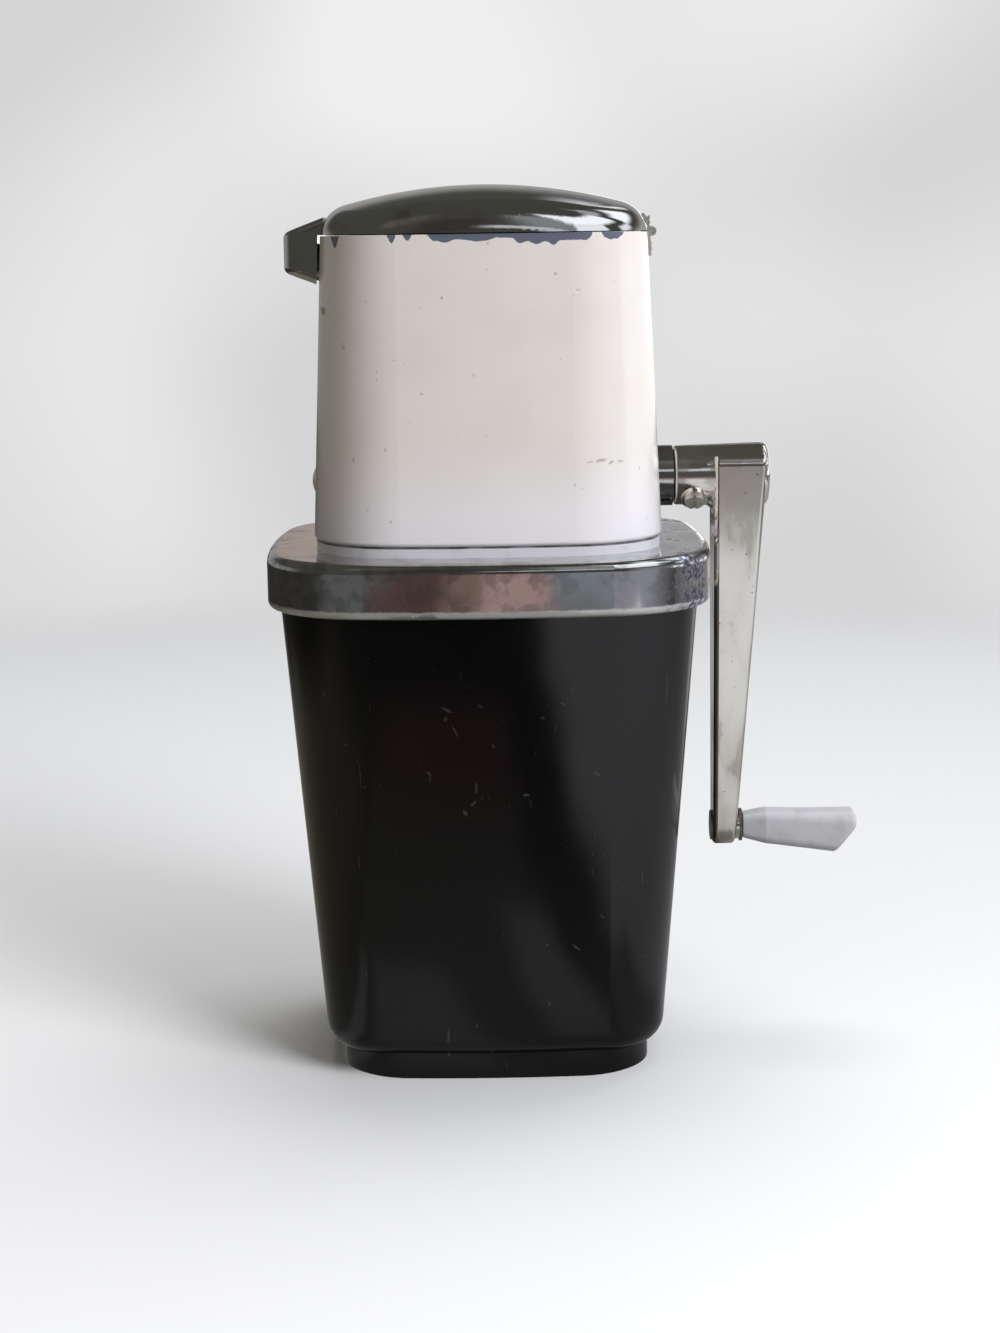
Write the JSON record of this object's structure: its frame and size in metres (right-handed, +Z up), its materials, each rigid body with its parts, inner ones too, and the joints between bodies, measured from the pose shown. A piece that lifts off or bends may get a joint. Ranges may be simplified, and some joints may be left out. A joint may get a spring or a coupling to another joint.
{
  "type": "ice crusher",
  "caption": "Hand-cranked ice crusher: an enamelled hopper head with hinged lid and bladed rotor, standing on a tapered cup that catches the ice.",
  "frame": {"origin": "centre of the cup's foot, on the surface it stands on", "axes": "+Z up through the head; -Y the front; +X towards the crank"},
  "size_m": [0.1618, 0.1128, 0.2376],
  "materials": {
    "black_plastic": "moulded, high gloss, lightly scuffed",
    "bright_chrome": "polished plating, pitted at the corners",
    "worn_chrome": "plating worn to a satin",
    "cream_enamel": "stoved enamel, chipped along the rim",
    "neck_enamel": "enamel",
    "cast_aluminium": "as cast",
    "blade_steel": "stamped and ground",
    "bright_steel": "turned",
    "bronze": "sintered",
    "dark_steel": "tarnished",
    "pale_plastic": "moulded"
  },
  "bodies": {
    "cup": {"cup": "black_plastic"},
    "head": {"collar": "bright_chrome", "collar_screws": "bright_steel", "comb_coarse": "cast_aluminium", "comb_fine": "cast_aluminium", "comb_screws": "bright_steel", "hinge_leaf": "bright_chrome", "hinge_pin": "bright_steel", "hinge_rivets": "bright_steel", "hopper": "cast_aluminium", "housing": "cream_enamel", "left_bearing": "bronze", "left_cap": "bright_chrome", "neck_ring": "neck_enamel", "right_bearing": "bright_chrome"},
    "lid": {"lid": "bright_chrome", "lid_strap": "bright_chrome", "strap_rivets": "bright_steel", "lid_tab": "bright_chrome", "tab_screws": "bright_steel"},
    "crank": {"drive_shaft": "bright_steel", "crank_arm": "worn_chrome", "set_screw": "bright_steel", "knob_spindle": "dark_steel", "knob_washer": "dark_steel", "blade_1": "blade_steel", "blade_2": "blade_steel", "blade_3": "blade_steel", "blade_4": "blade_steel", "blade_5": "blade_steel", "blade_6": "blade_steel", "spacer_1": "bright_steel", "spacer_2": "bright_steel", "spacer_3": "bright_steel", "spacer_4": "bright_steel", "spacer_5": "bright_steel", "spacer_6": "bright_steel", "spacer_7": "bright_steel"},
    "knob": {"knob": "pale_plastic"}
  },
  "joints": [
    {"name": "head_lift", "type": "slide", "parent": "cup", "child": "head", "axis": [0, 0, 1], "range_m": [0, 0.12]},
    {"name": "lid_hinge", "type": "hinge", "parent": "head", "child": "lid", "pos_m": [0.04444, 0, 0.22455], "axis": [0, 1, 0], "range_deg": [0, 90]},
    {"name": "crank_turn", "type": "hinge", "parent": "head", "child": "crank", "pos_m": [0, 0, 0.1585], "axis": [1, 0, 0], "continuous": true},
    {"name": "knob_turn", "type": "hinge", "parent": "crank", "child": "knob", "pos_m": [0, 0, 0.0596], "axis": [1, 0, 0], "continuous": true}
  ]
}
